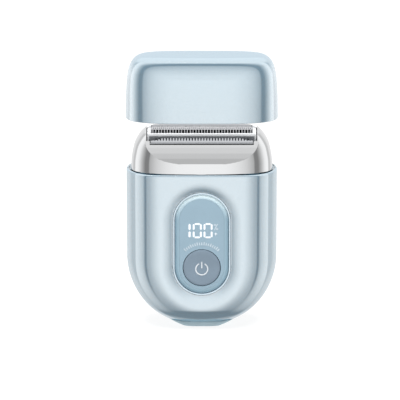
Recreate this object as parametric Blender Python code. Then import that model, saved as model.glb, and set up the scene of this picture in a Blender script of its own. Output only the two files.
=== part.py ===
"""Palm-size electric foil shaver with a hovering travel cap.

The frame has its origin at the centre of the foot, +Z up and the display towards -Y.
Dimensions are in millimetres here and turned into metres when a mesh is made.
"""

import math

import bmesh
import bpy
from mathutils import Vector

MM = 0.001

# Body: a superellipse in plan, ending below in a half circle seen from the front.
HALF_WIDTH = 30.0
HALF_DEPTH = 14.5
SQUARENESS = 3.1
ARC_Z = 29.0
RIM_Z = 65.0
WALL = 1.8
SEAM = 0.15
FOOT_CUT_Z = 2.3
FOOT_TOP_Z = 2.0
ARC_STEPS = 16

# Display panel: a capsule shape let into a shallow dish.
PANEL_LOW_Z = 26.75
PANEL_HIGH_Z = 45.9
DISH_INNER = 11.0
DISH_OUTER = 17.5
DISH_DEPTH = 1.2
WINDOW_RADIUS = 11.7
BEZEL_RADIUS = 11.4
BEZEL_WIDTH = 0.7
LENS_RADIUS = 10.4
BUTTON_RADIUS = 7.6

# Drive line: motor axis, eccentric and stroke.
MOTOR_Y = 2.0
ECCENTRIC = 0.8

# Head: heights are above the rim of the body.
HEAD_BASE_Z = 65.4
CAP_LIFT = 20.8
CAP_HEIGHT = 24.7

# Cutting set.
FRAME_HALF_LENGTH = 21.6
FRAME_HALF_DEPTH = 5.6
FOIL_CROWN_Z = 81.3
FOIL_SPRING_Z = 77.1


def linear(value):
    """One sRGB channel, 0 to 1, as the linear value a shader takes."""
    return value / 12.92 if value <= 0.04045 else ((value + 0.055) / 1.055) ** 2.4


def material(name, hex_colour, metallic=0.0, roughness=0.4):
    """A Principled material of this colour."""
    made = bpy.data.materials.new(name)
    made.use_nodes = True
    shader = made.node_tree.nodes["Principled BSDF"]
    channels = [linear(int(hex_colour[i : i + 2], 16) / 255) for i in (0, 2, 4)]
    shader.inputs["Base Color"].default_value = (*channels, 1.0)
    shader.inputs["Metallic"].default_value = metallic
    shader.inputs["Roughness"].default_value = roughness
    return made


def finish_mesh(name, mesh_builder, look, origin=(0, 0, 0)):
    """Turns a bmesh in millimetres into a named object with outward normals and its origin in place."""
    bmesh.ops.remove_doubles(mesh_builder, verts=mesh_builder.verts, dist=1e-4)
    bmesh.ops.recalc_face_normals(mesh_builder, faces=mesh_builder.faces)
    for vertex in mesh_builder.verts:
        vertex.co = (vertex.co - Vector(origin)) * MM
    mesh = bpy.data.meshes.new(name)
    mesh_builder.to_mesh(mesh)
    mesh_builder.free()
    mesh.shade_smooth()
    mesh.set_sharp_from_angle(angle=math.radians(35))
    made = bpy.data.objects.new(name, mesh)
    made.location = Vector(origin) * MM
    made.data.materials.append(look)
    bpy.context.scene.collection.objects.link(made)
    return made


def loft(name, rings, look, looped=False, origin=(0, 0, 0)):
    """Skins rings of equally many points: capped at both ends, or joined last to first if looped."""
    builder = bmesh.new()
    rows = [[builder.verts.new(point) for point in ring] for ring in rings]
    pairs = list(zip(rows, rows[1:]))
    if looped:
        pairs.append((rows[-1], rows[0]))
    for low, high in pairs:
        for i in range(len(low)):
            j = (i + 1) % len(low)
            builder.faces.new((low[i], low[j], high[j], high[i]))
    if not looped:
        builder.faces.new(rows[0])
        builder.faces.new(rows[-1])
    return finish_mesh(name, builder, look, origin)


def plan(half_width, front, rear, z, count=40, squareness=SQUARENESS, centre=(0, 0)):
    """A superellipse at height z with its own half depth in front and behind."""
    points = []
    for k in range(count):
        turn = 2 * math.pi * k / count
        c, s = math.cos(turn), math.sin(turn)
        x = half_width * math.copysign(abs(c) ** (2 / squareness), c)
        depth = front if s < 0 else rear
        y = depth * math.copysign(abs(s) ** (2 / squareness), s)
        points.append((centre[0] + x, centre[1] + y, z))
    return points


def circle(radius, z, x=0.0, y=0.0, count=20):
    """A horizontal circle."""
    turns = [2 * math.pi * k / count for k in range(count)]
    return [(x + radius * math.cos(t), y + radius * math.sin(t), z) for t in turns]


def capsule(radius, y, low=PANEL_LOW_Z, high=PANEL_HIGH_Z, steps=12):
    """A vertical capsule outline in the plane at y, centred on x = 0."""
    upper = [math.pi * k / steps for k in range(steps + 1)]
    points = [(radius * math.cos(t), y, high + radius * math.sin(t)) for t in upper]
    points += [(-radius * math.cos(t), y, low - radius * math.sin(t)) for t in upper]
    return points


def disc(radius, y, z, x=0.0, count=24):
    """A circle in the plane at y."""
    turns = [2 * math.pi * k / count for k in range(count)]
    return [(x + radius * math.cos(t), y, z + radius * math.sin(t)) for t in turns]


def slot_outline(half_width, half_depth, z, steps=6):
    """A horizontal stadium along X."""
    side = half_width - half_depth
    turns = [-math.pi / 2 + math.pi * k / steps for k in range(steps + 1)]
    right = [(side + half_depth * math.cos(t), half_depth * math.sin(t), z) for t in turns]
    left = [(-x, -y, z) for x, y, z in right]
    return right + left


def box(name, low, high, look, bevel=0.0):
    """A block between two corners, with its edges rounded by one bevel if asked."""
    builder = bmesh.new()
    bmesh.ops.create_cube(builder, size=1.0)
    size = Vector(high) - Vector(low)
    middle = (Vector(high) + Vector(low)) / 2
    for vertex in builder.verts:
        vertex.co = Vector(a * b for a, b in zip(vertex.co, size)) + middle
    if bevel:
        edges = list(builder.edges)
        bmesh.ops.bevel(builder, geom=edges, offset=bevel, segments=1, affect="EDGES")
    return finish_mesh(name, builder, look)


def prism(name, outline, start, end, look):
    """Extrudes a (y, z) outline along X."""
    rings = [[(x, y, z) for y, z in outline] for x in (start, end)]
    return loft(name, rings, look)


def combine(target, operation, *others):
    """Applies each Boolean in turn as a modifier, and keeps its operand as a hidden helper."""
    for other in others:
        step = target.modifiers.new(f"{operation.lower()}_{other.name}", "BOOLEAN")
        step.operation = operation
        step.solver = "EXACT"
        step.object = other
        other.hide_render = True
        other.display_type = "WIRE"
    return target


def cut(target, *others):
    """Removes the others from the target."""
    return combine(target, "DIFFERENCE", *others)


def join(target, *others):
    """Adds the others to the target."""
    return combine(target, "UNION", *others)


def depth_at(radius, half_width, half_depth):
    """How far the body's face stands from its middle plane at this distance from its axis."""
    share = min(1.0, abs(radius) / half_width) ** SQUARENESS
    return half_depth * (1 - share) ** (1 / SQUARENESS)


def dish_at(x, z):
    """The depth of the dish around the panel at a point of the front."""
    nearest = min(max(z, PANEL_LOW_Z), PANEL_HIGH_Z)
    distance = math.hypot(x, z - nearest)
    share = min(1.0, max(0.0, (distance - DISH_INNER) / (DISH_OUTER - DISH_INNER)))
    return DISH_DEPTH * (1 - share * share * (3 - 2 * share))


def skin(builder, side, radii, levels, inset, dished):
    """The grid of one face of a shell: down the left, round the half circle and up the right."""
    half_width = HALF_WIDTH - inset
    half_depth = HALF_DEPTH - inset
    grid = []
    for radius in radii:
        reach = radius * half_width / HALF_WIDTH
        depth = depth_at(reach, half_width, half_depth)
        path = [(-reach, z, trim) for z, trim in levels]
        turns = [math.pi + math.pi * k / ARC_STEPS for k in range(1, ARC_STEPS)]
        path += [(reach * math.cos(t), ARC_Z + reach * math.sin(t), 0) for t in turns]
        path += [(reach, z, trim) for z, trim in reversed(levels)]
        row = []
        for x, z, trim in path:
            pull = trim if inset == 0 else 0
            x *= 1 - pull / HALF_WIDTH
            y = max(depth * (1 - pull / HALF_DEPTH) - (dish_at(x, z) if dished else 0), SEAM)
            row.append(builder.verts.new((x, side * y, z)))
        grid.append(row)
    for near, far in zip(grid, grid[1:]):
        for i in range(len(near) - 1):
            builder.faces.new((near[i], near[i + 1], far[i + 1], far[i]))
    return grid


def shell(name, side, radii, levels, look, dished):
    """Half of the body as one thin closed solid, open at the seam and at the top."""
    builder = bmesh.new()
    outer = skin(builder, side, radii, levels, 0, dished)
    inner = skin(builder, side, radii, levels, WALL, dished)
    outer_edge = [row[0] for row in outer] + outer[-1][1:-1] + [row[-1] for row in reversed(outer)]
    inner_edge = [row[0] for row in inner] + inner[-1][1:-1] + [row[-1] for row in reversed(inner)]
    for i in range(len(outer_edge) - 1):
        near, far = i, i + 1
        quad = (outer_edge[near], outer_edge[far], inner_edge[far], inner_edge[near])
        builder.faces.new(quad)
    return finish_mesh(name, builder, look)


def housings(look):
    """The two lacquered shells, cut off level above the foot."""
    rim = [(RIM_Z, 0.9), (RIM_Z - 0.3, 0.3), (RIM_Z - 1.0, 0.0)]
    front_levels = rim + [(z, 0.0) for z in (61.0, 57.5, 54.0, 50.0, 46.0, 36.5, ARC_Z)]
    rear_levels = rim + [(ARC_Z, 0.0)]
    front_radii = (0, 6, 10.5, 12, 13.5, 15, 17, 20, 23, 25.5, 27.3, 28.6, 29.4, 29.85, 30)
    rear_radii = (0, 10, 17, 22, 25.5, 27.3, 28.6, 29.4, 29.85, 30)
    front = shell("front_housing", -1, front_radii, front_levels, look, True)
    rear = shell("rear_housing", 1, rear_radii, rear_levels, look, False)
    window = loft("window_cut", [capsule(WINDOW_RADIUS, y) for y in (-20, -8)], look)
    low, high = (-40, -20, -10), (40, 20, FOOT_CUT_Z)
    cut(front, window, box("front_foot_cut", low, high, look))
    cut(rear, box("rear_foot_cut", low, high, look))


def foot_ring(z, count=32):
    """The body's own outline carried down to height z."""
    half = math.sqrt(HALF_WIDTH**2 - (ARC_Z - z) ** 2)
    points = []
    for k in range(count):
        turn = 2 * math.pi * k / count
        x = half * math.cos(turn)
        y = depth_at(math.hypot(x, ARC_Z - z), HALF_WIDTH, HALF_DEPTH)
        points.append((x, math.copysign(y, math.sin(turn)), z))
    return points


def foot(look):
    """The sole, with a plug that enters the shells and a slot for the charging socket."""
    rings = [foot_ring(z) for z in (0.0, 0.7, 1.4, FOOT_TOP_Z)]
    rings += [plan(8.4, 5.9, 5.9, z, count=32) for z in (FOOT_TOP_Z, 4.5)]
    sole = loft("base_foot", rings, look)
    slot = loft("socket_slot", [slot_outline(4.8, 1.95, z) for z in (-1, 6)], look)
    cut(sole, slot)


def charging_socket(steel, plastic, board):
    """A receptacle that faces down, its tongue and the small board behind it."""
    rings = [slot_outline(4.47, 1.63, z) for z in (7.9, 0.6)]
    rings += [slot_outline(4.17, 1.33, z) for z in (0.6, 7.4)]
    loft("usb_c_shell", rings, steel)
    box("usb_c_tongue", (-3.35, -0.35, 1.5), (3.35, 0.35, 7.1), plastic, 0.1)
    box("usb_board", (-7, 1.95, 4.9), (7, 2.75, 11.5), board)


def ring_around(name, outlines, look):
    """A band whose four corners follow these outlines."""
    return loft(name, outlines, look, looped=True)


def panel(chrome, lens_look, button_look, plastic):
    """The bezel, the lens, the button and the carrier behind them."""
    inner = BEZEL_RADIUS - BEZEL_WIDTH
    outlines = [(BEZEL_RADIUS, -13.7), (BEZEL_RADIUS - 0.2, -14.0), (inner + 0.2, -14.0)]
    outlines += [(inner, -13.7), (inner, -11.25), (BEZEL_RADIUS, -11.25)]
    ring_around("bezel_ring", [capsule(r, y) for r, y in outlines], chrome)
    lens_rings = [(LENS_RADIUS, -11.3), (LENS_RADIUS, -13.1), (LENS_RADIUS - 1.8, -13.8)]
    lens = loft("display_lens", [capsule(r, y) for r, y in lens_rings], lens_look)
    cut(lens, loft("button_hole", [disc(8.0, y, PANEL_LOW_Z) for y in (-20, -9)], lens_look))
    button_rings = [(1.8, -10.1), (1.8, -11.3), (BUTTON_RADIUS, -11.3)]
    button_rings += [(BUTTON_RADIUS, -13.6), (BUTTON_RADIUS - 0.4, -13.9), (4.0, -13.7)]
    loft("power_button", [disc(r, y, PANEL_LOW_Z) for r, y in button_rings], button_look)
    carrier = loft("panel_carrier", [capsule(12.4, y) for y in (-10.9, -9.9)], plastic)
    cut(carrier, loft("stem_hole", [disc(2.4, y, PANEL_LOW_Z, count=16) for y in (-20, -8)], plastic))
    box("display_module", (-8.5, -9.6, 37.5), (8.5, -7.5, 46.1), plastic, 0.3)


def control_board(board, steel, plastic):
    """The board with its low switch; the plunger slides in the switch."""
    box("main_pcb", (-13, -7.2, 14), (13, -6.2, 56), board)
    switch = box("tact_switch", (-3, -9.4, 23.75), (3, -7.5, 29.75), steel, 0.2)
    bore = [disc(1.9, y, PANEL_LOW_Z, count=16) for y in (-10, -8.3)]
    cut(switch, loft("plunger_bore", bore, steel))
    rings = [disc(1.5, y, PANEL_LOW_Z, count=16) for y in (-9.8, -8.8)]
    loft("switch_plunger", rings, plastic)


def battery(steel, nickel, plastic):
    """A cylindrical cell lying across the body, its two tabs and the cradle under it."""
    cell = []
    for x, radius in ((-20.3, 2.5), (-20.0, 2.5), (-20.0, 6.2), (-19.7, 6.5), (19.7, 6.5), (20.0, 6.2)):
        turns = [2 * math.pi * k / 24 for k in range(24)]
        cell.append([(x, MOTOR_Y + radius * math.cos(t), 20 + radius * math.sin(t)) for t in turns])
    loft("battery_cell", cell, steel)
    box("battery_tab_left", (-20.9, -0.5, 16), (-20.6, 4.5, 25), nickel)
    box("battery_tab_right", (20.3, -0.5, 16), (20.6, 4.5, 25), nickel)
    turns = [math.radians(200 + 140 * k / 10) for k in range(11)]
    outer = [(MOTOR_Y + 7.8 * math.cos(t), 20 + 7.8 * math.sin(t)) for t in turns]
    inner = [(MOTOR_Y + 6.8 * math.cos(t), 20 + 6.8 * math.sin(t)) for t in reversed(turns)]
    cradle = prism("battery_cradle", outer + inner, -12, 12, plastic)
    ribs = [box(f"cradle_rib_{x}", (x, 8.4, 15.5), (x + 1.5, 10.9, 18.0), plastic) for x in (-10, 8)]
    join(cradle, *ribs)


def chassis(look):
    """A back plate with a shelf over the battery and one around the eccentric."""
    frame = box("chassis_frame", (-14, 10.4, 20), (14, 11.4, 60.2), look)
    low_shelf = box("low_shelf", (-13, -4, 28.6), (13, 10.9, 29.8), look)
    top_shelf = box("top_shelf", (-19, -3, 57.2), (19, 10.9, 60.2), look)
    join(frame, low_shelf, top_shelf)
    well = loft("cam_well", [circle(5.2, z, y=MOTOR_Y) for z in (50, 65)], look)
    holes = [
        loft(f"lug_hole_{x}", [circle(1.0, z, x, 5.0, 12) for z in (50, 65)], look)
        for x in (-16, 16)
    ]
    cut(frame, well, *holes)


def motor(steel, plastic, shaft_look):
    """A flat-sided direct-current motor standing upright, its shaft and the eccentric on it."""
    axis = (0, MOTOR_Y)
    can_plan = [(9.6, 7.0, 33.3), (10.0, 7.5, 33.8), (10.0, 7.5, 53.5), (9.6, 7.0, 54.0)]
    rings = [plan(w, d, d, z, 28, 3.6, axis) for w, d, z in can_plan]
    rings += [circle(3.0, z, y=MOTOR_Y, count=28) for z in (54.0, 55.2)]
    can = loft("motor_can", rings, steel)
    cut(can, loft("bearing_bore", [circle(1.3, z, y=MOTOR_Y) for z in (42, 60)], steel))
    ends = [plan(w, d, d, z, 28, 3.6, axis) for w, d, z in ((8.6, 6.2, 30.1), (9.4, 6.9, 30.6), (9.4, 6.9, 33.0))]
    loft("motor_end_cap", ends, plastic)
    origin = (0, MOTOR_Y, 50)
    shaft = [circle(1.0, z, y=MOTOR_Y, count=16) for z in (42.5, 58.6)]
    loft("motor_shaft", shaft, shaft_look, origin=origin)
    cam = [circle(3.5, 57.0, y=MOTOR_Y, count=24), circle(3.5, 60.2, y=MOTOR_Y, count=24)]
    cam += [circle(0.75, z, x=ECCENTRIC, y=MOTOR_Y, count=24) for z in (60.2, 67.4)]
    weight = loft("eccentric_cam", cam, plastic, origin=origin)
    cut(weight, loft("cam_bore", [circle(1.3, z, y=MOTOR_Y) for z in (56, 58.9)], plastic))


def deck(look, rubber, steel):
    """The seat that closes the body, its seal and its two screws."""
    rings = [plan(26.8, 11.4, 11.4, z) for z in (61.6, 63.0)]
    rings += [plan(27.9, 12.4, 12.4, z) for z in (63.0, 64.7)]
    seat = loft("head_seat", rings, look)
    holes = [loft("pin_hole", [circle(2.3, z, y=MOTOR_Y) for z in (60, 67)], look)]
    for name, x in (("left", -16), ("right", 16)):
        holes.append(loft(f"screw_hole_{name}", [circle(1.0, z, x, 5.0, 12) for z in (60, 67)], look))
        sizes = ((0.7, 58.0), (0.7, 65.0), (1.6, 65.0), (1.6, 65.7), (1.0, 66.1))
        loft(f"deck_screw_{name}", [circle(r, z, x, 5.0, 16) for r, z in sizes], steel)
    cut(seat, *holes)
    seal = [circle(r, z, y=MOTOR_Y, count=24) for r, z in ((2.5, 65.0), (5.2, 65.0), (5.2, 65.4), (2.8, 65.7))]
    ring_around("drive_diaphragm", seal, rubber)


def drive(plastic):
    """The bracket that the eccentric drives from side to side, with two posts and a fork."""
    base = box("drive_bracket", (-9, -4, 66.0), (9, 6, 67.8), plastic, 0.3)
    arm = box("bracket_arm", (-2.9, -7.7, 66.2), (2.9, -3.5, 67.6), plastic)
    prongs = [
        box("prong_left", (-2.9, -7.7, 67.0), (-1.7, -6.6, 71.5), plastic),
        box("prong_right", (1.7, -7.7, 67.0), (2.9, -6.6, 71.5), plastic),
    ]
    posts = [
        loft(f"post_{x}", [circle(1.6, z, x=x, count=16) for z in (67.0, 74.4)], plastic)
        for x in (-6.6, 6.6)
    ]
    join(base, arm, *prongs, *posts)
    cut(base, loft("pin_slot", [circle(2.5, z, y=MOTOR_Y) for z in (60, 70)], plastic))


def coil(name, x, low, high, look, radius=2.5, wire=0.28, turns=3.5):
    """A compression spring around a post."""
    rings = []
    count = int(turns * 12)
    for k in range(count + 1):
        turn = 2 * math.pi * k / 12
        middle_z = low + wire + (high - low - 2 * wire) * k / count
        ring = []
        for j in range(5):
            side = 2 * math.pi * j / 5
            out = radius + wire * math.cos(side)
            ring.append((x + out * math.cos(turn), out * math.sin(turn), middle_z + wire * math.sin(side)))
        rings.append(ring)
    return loft(name, rings, look)


def arch(half, crown, spring, foot_z, steps=10):
    """A (y, z) line up one side, over the crown and down the other."""
    turns = [math.pi - math.pi * k / steps for k in range(steps + 1)]
    over = [(half * math.cos(t), spring + (crown - spring) * math.sin(t)) for t in turns]
    return [(-half, foot_z)] + over + [(half, foot_z)]


def cutting_set(nickel, frame_look, steel, plastic, spring_look):
    """The arched foil in its frame and the blade block under it on its sprung carrier."""
    outside = arch(4.2, FOIL_CROWN_Z, FOIL_SPRING_Z, 75.4)
    inside = arch(3.95, FOIL_CROWN_Z - 0.25, FOIL_SPRING_Z, 75.4)
    prism("shaving_foil", outside + inside[::-1], -19.9, 19.9, nickel)

    end = [(-FRAME_HALF_DEPTH, 73.0), (-FRAME_HALF_DEPTH, 80.05), (-4.6, 80.3), (-2.6, 81.1), (0, 81.4)]
    end += [(-y, z) for y, z in reversed(end[:-1])]
    frame = prism("foil_frame", end, -FRAME_HALF_LENGTH, FRAME_HALF_LENGTH, frame_look)
    cut(frame, box("foil_opening", (-20.2, -4.6, 70), (20.2, 4.6, 90), frame_look))

    core = arch(2.2, 79.2, 78.2, 76.7)
    blade = arch(3.6, FOIL_CROWN_Z - 0.55, FOIL_SPRING_Z, 76.7)
    base_only = arch(3.6, 77.6, FOIL_SPRING_Z, 76.7)
    pitch, thick = 2.09, 0.7
    first = -(18 * pitch + thick) / 2
    rings = [[(first, y, z) for y, z in blade]]
    for k in range(18):
        start = first + k * pitch
        middle = core if k % 2 else base_only
        rings.append([(start + thick, y, z) for y, z in blade])
        rings.append([(start + thick, y, z) for y, z in middle])
        rings.append([(start + pitch, y, z) for y, z in middle])
        rings.append([(start + pitch, y, z) for y, z in blade])
    rings.append([(-first, y, z) for y, z in blade])
    loft("inner_blade_block", rings, steel)

    carrier = box("blade_carrier", (-18.8, -3.3, 73.4), (18.8, 3.3, 76.4), plastic, 0.3)
    sockets = [
        loft(f"socket_{x}", [circle(1.95, z, x=x, count=16) for z in (72, 75.8)], plastic)
        for x in (-6.6, 6.6)
    ]
    cut(carrier, *sockets)
    coil("blade_spring_left", -6.6, 68.0, 73.2, spring_look)
    coil("blade_spring_right", 6.6, 68.0, 73.2, spring_look)


def teeth(name, half_length, bottom, top, depth, pitch, look, tab=None):
    """A flat comb in the plane of the front: a bar with teeth along its upper edge."""
    root = top - 1.1
    outline = [(half_length, bottom), (half_length, root)]
    count = int(2 * half_length / pitch)
    side = half_length
    for k in range(count):
        start = side - (k + 0.5) * pitch + pitch / 2
        outline += [(start - 0.18 * pitch, root), (start - 0.28 * pitch, top)]
        outline += [(start - 0.72 * pitch, top), (start - 0.82 * pitch, root)]
    outline += [(-half_length, root), (-half_length, bottom)]
    if tab:
        width, low = tab
        outline += [(-width, bottom), (-width, low), (width, low), (width, bottom)]
    rings = [[(x, y, z) for x, z in outline] for y in depth]
    return loft(name, rings, look)


def trimmer(steel, plastic):
    """The fixed comb, the moving comb behind it and the bar that carries both."""
    teeth("trimmer_comb", 20.2, 76.0, 78.4, (-8.5, -7.85), 1.5, steel)
    teeth("trimmer_blade", 19.0, 76.0, 78.2, (-7.5, -6.9), 1.5, steel, tab=(1.2, 69.0))
    bar = box("trimmer_base", (-20.6, -7.2, 73.4), (20.6, -5.95, 75.7), plastic)
    cut(bar, box("tab_notch", (-2.4, -8.0, 70), (2.4, -6.5, 80), plastic))


def head(look):
    """The chrome head: a tapering shell with a slanted scoop in front and an opening for the foil."""
    outer = [(28.0, 13.1, 65.4), (28.0, 13.1, 69.0), (27.4, 12.8, 71.4), (26.6, 12.0, 74.7)]
    outer += [(25.4, 10.9, 77.3), (23.9, 9.6, 79.4), (22.7, 8.4, 80.6)]
    inner = [(22.0, 7.0, 7.4, 78.8), (23.8, 7.6, 9.2, 77.0), (25.0, 8.6, 10.4, 74.7)]
    inner += [(25.8, 10.4, 11.3, 71.4), (26.4, 11.5, 11.6, 69.0), (26.4, 11.6, 11.6, 65.4)]
    rings = [plan(w, d, d, z) for w, d, z in reversed(outer)]
    rings += [plan(w, f, r, z) for w, f, r, z in reversed(inner)]
    made = loft("head_frame", rings, look)
    scoop = prism("scoop_cut", [(-12.9, 68.9), (-3.9, 83.9), (-30, 83.9), (-30, 68.9)], -35, 35, look)
    opening = box("foil_cut", (-21.95, -7.85, 72.0), (21.95, 6.0, 90), look)
    front = box("comb_cut", (-20.6, -20, 75.7), (20.6, -7.0, 90), look)
    cut(made, scoop, opening, front)


def cap(look):
    """The travel cap, hovering over the head."""
    base = RIM_Z + CAP_LIFT
    outer = [(30.2, 14.5, 0.0), (30.1, 14.37, 5.0), (29.95, 13.95, 10.0), (29.6, 13.1, 15.2)]
    outer += [(28.9, 12.15, 19.2), (27.8, 11.3, 21.6), (26.0, 10.45, 23.4), (23.5, 9.6, 24.4)]
    outer += [(21.0, 8.5, CAP_HEIGHT)]
    inner = [(19.5, 7.3, 23.3), (22.3, 8.5, 23.0), (24.7, 9.6, 22.0), (26.5, 10.6, 20.4)]
    inner += [(27.7, 11.3, 18.4), (28.4, 12.0, 15.0), (28.8, 12.9, 9.6), (28.9, 13.35, 5.0)]
    inner += [(29.0, 13.5, 0.0)]
    rings = [plan(w, d, d, base + z) for w, d, z in reversed(outer)]
    rings += [plan(w, d, d, base + z) for w, d, z in reversed(inner)]
    loft("protective_cap", rings, look)


def main():
    for old in list(bpy.data.objects):
        bpy.data.objects.remove(old)
    lacquer = material("lacquered_abs", "D3E2ED", 0.15, 0.25)
    cap_look = material("lacquered_cap_abs", "D6E4EE", 0.15, 0.25)
    foot_look = material("satin_foot_abs", "A9BDCB", 0.0, 0.45)
    chrome = material("chrome_plated_abs", "E4E6E8", 1.0, 0.12)
    lens_look = material("tinted_polycarbonate", "B0C8D6", 0.0, 0.12)
    button_look = material("satin_button_abs", "8798A7", 0.1, 0.35)
    dark = material("black_polycarbonate", "2A2D31", 0.0, 0.5)
    white = material("white_acetal", "E6E8E9", 0.0, 0.4)
    silver = material("silver_frame_abs", "D9DDE0", 0.4, 0.3)
    board = material("solder_mask_laminate", "1F5B3C", 0.0, 0.4)
    steel = material("stainless_steel", "B9BCC0", 1.0, 0.25)
    nickel = material("nickel_foil", "C9C7C2", 1.0, 0.3)
    wrap = material("cell_sleeve_pvc", "3A6FA5", 0.0, 0.35)
    rubber = material("silicone_rubber", "3C4046", 0.0, 0.6)

    housings(lacquer)
    foot(foot_look)
    charging_socket(steel, dark, board)
    panel(chrome, lens_look, button_look, dark)
    control_board(board, steel, dark)
    battery(wrap, nickel, white)
    chassis(white)
    motor(steel, dark, steel)
    deck(dark, rubber, steel)
    drive(white)
    cutting_set(nickel, silver, steel, white, steel)
    trimmer(steel, dark)
    head(chrome)
    cap(cap_look)


main()
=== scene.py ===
"""Looks for a palm-size foil shaver: lacquered body, plated head, lit panel and travel cap."""

import math

import bmesh
import bpy
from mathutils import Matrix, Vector


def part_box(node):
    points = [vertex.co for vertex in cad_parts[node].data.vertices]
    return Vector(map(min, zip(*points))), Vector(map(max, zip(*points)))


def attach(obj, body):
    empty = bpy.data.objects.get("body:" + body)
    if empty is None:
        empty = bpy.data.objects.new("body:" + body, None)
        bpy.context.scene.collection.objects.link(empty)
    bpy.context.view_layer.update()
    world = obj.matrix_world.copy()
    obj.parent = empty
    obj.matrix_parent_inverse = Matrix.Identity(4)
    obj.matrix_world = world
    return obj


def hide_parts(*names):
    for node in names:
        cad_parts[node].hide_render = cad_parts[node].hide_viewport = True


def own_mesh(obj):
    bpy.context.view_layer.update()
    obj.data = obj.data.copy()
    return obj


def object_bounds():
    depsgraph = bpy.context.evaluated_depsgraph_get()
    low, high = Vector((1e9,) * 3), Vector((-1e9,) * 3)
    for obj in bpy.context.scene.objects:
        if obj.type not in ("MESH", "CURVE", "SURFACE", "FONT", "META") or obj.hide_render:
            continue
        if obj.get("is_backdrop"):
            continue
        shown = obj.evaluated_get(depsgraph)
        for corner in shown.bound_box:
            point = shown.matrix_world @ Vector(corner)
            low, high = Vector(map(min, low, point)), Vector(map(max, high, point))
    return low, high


MM = 0.001

# Body, in millimetres: the frame's own sizes, but for a slightly lower rim.
HALF_WIDTH = 30.0
HALF_DEPTH = 14.5
ARC_Z = 29.0
RIM_Z = 64.55
RIM_EDGE = 1.0
RIM_PULL = 0.65
REBATE_WALL = 0.75
REBATE_DEEP = 0.9
ABOVE_RIM_Z = 75
SHELL_WALL = 1.7
SEAM = 0.15
BODY_ROUND = 3.1
# Distance from the middle, and the angle in degrees at which the front falls away there.
SHOULDER = [(0, 0), (15, 0.8), (17.3, 4), (19.1, 11), (20.7, 16.5), (22.1, 19.5), (22.6, 26)]
SHOULDER += [(23.2, 32), (24.7, 36.5), (26.3, 41)]
EDGE_FROM = 26.3
# Below, the flat front reaches out by this much more, and both shells draw in under this height.
SPREAD = 1.6
TAPER_FROM_Z = 9.0
TAPER_RUN = 6.8
TAPER_SHARE = 0.46

# Foot and its charging socket.
FOOT_TOP_Z = 2.0
FOOT_HALF_DEPTH = 5.1
FOOT_UPRIGHT_Z = 0.22
FOOT_FLARE = 0.5
SOCKET_HALF_WIDTH = 4.8
SOCKET_HALF_DEPTH = 1.95
ROUND_POINTS = 160

# Panel: two centres, one over the other, that its window, bezel and lens run round.
PANEL_LOW_Z = 26.75
PANEL_HIGH_Z = 45.9
WINDOW_RADIUS = 11.56
DISH_OUTER = 17.6
DISH_DEPTH = 1.0
BEZEL_OUTER = 11.45
BEZEL_INNER = 10.78
PANEL_BACK_Y = -11.3
LENS_Y = -13.66
BUTTON_HOLE = 7.62
BUTTON_RADIUS = 7.4
FIGURE_TOP_Z = 45.0
FIGURE_BOTTOM_Z = 38.95

# Head: a shell whose scoop starts at this (y, z) and rises by this much.
HEAD_ROUND = 3.1
HEAD_POINTS = 200
SCOOP_START = (-13.0, 68.9)
SCOOP_RUN = 9.95
SCOOP_RISE = 15.0
SCOOP_CROWN = 0.22

# Foil: an arch with a row of slots between two turns from its crown, in degrees.
ARCH_CENTRE_Z = 76.9
FOIL_RADIUS = 4.2
FOIL_INSIDE = 4.0
FOIL_FOOT_Z = 75.4
FOIL_HALF_LENGTH = 19.9
SLOTS_FROM = -67
SLOTS_TO = -31
RIB_COUNT = 35
RIB_PITCH = 1.14
RIB_HALF_WIDTH = 0.14
TOOTH_HEIGHT = 1.05
SPRING_BODY = "drive"

# Cap: its mouth bows down by this much, over this height.
CAP_ROUND = 3.6
CAP_POINTS = 240
CAP_BOW = 0.5
CAP_BOW_HEIGHT = 6

# Studio: the front light's half width and lower edge in degrees, its height, and two brightnesses.
FRONT_LIGHT_TURN = 100.0
FRONT_LIGHT_RISE = 13.0
FRONT_LIGHT_REACH = 59.5
BRIGHTEST_RING = 1.2
ROOF_LIGHT = 1.06

# View: a camera this many metres away sees a frame this many metres wide.
VIEW_RISE = 14.0
VIEW_DISTANCE = 1.2
VIEW_WIDTH = 0.160
SENSOR_WIDTH = 36.0
AIM_X = -0.7
AIM_Z = 51.1


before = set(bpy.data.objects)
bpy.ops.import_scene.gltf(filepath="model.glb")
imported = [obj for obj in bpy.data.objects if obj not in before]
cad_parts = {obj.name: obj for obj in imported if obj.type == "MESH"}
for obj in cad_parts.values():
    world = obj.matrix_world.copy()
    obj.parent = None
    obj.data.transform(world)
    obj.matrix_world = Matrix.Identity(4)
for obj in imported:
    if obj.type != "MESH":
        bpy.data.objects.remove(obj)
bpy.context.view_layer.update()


# ---------------------------------------------------------------- materials


def linear(hex_colour):
    """An sRGB hex colour as the linear RGBA that a shader takes."""
    channels = [int(hex_colour[i : i + 2], 16) / 255 for i in (0, 2, 4)]
    lit = [c / 12.92 if c <= 0.04045 else ((c + 0.055) / 1.055) ** 2.4 for c in channels]
    return (*lit, 1.0)


def node(tree, kind, inputs=None, stops=(), **settings):
    """Adds a node with its settings and a ramp's stops; an input is a value or a socket to link."""
    made = tree.nodes.new(kind)
    for key, value in settings.items():
        setattr(made, key, value)
    while stops and len(made.color_ramp.elements) < len(stops):
        made.color_ramp.elements.new(0.5)
    for k, (position, colour) in enumerate(stops):
        made.color_ramp.elements[k].position = position
        made.color_ramp.elements[k].color = colour
    for key, value in (inputs or {}).items():
        socket = made.inputs[key]
        if isinstance(value, bpy.types.NodeSocket):
            tree.links.new(value, socket)
        else:
            socket.default_value = value
    return made


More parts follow.
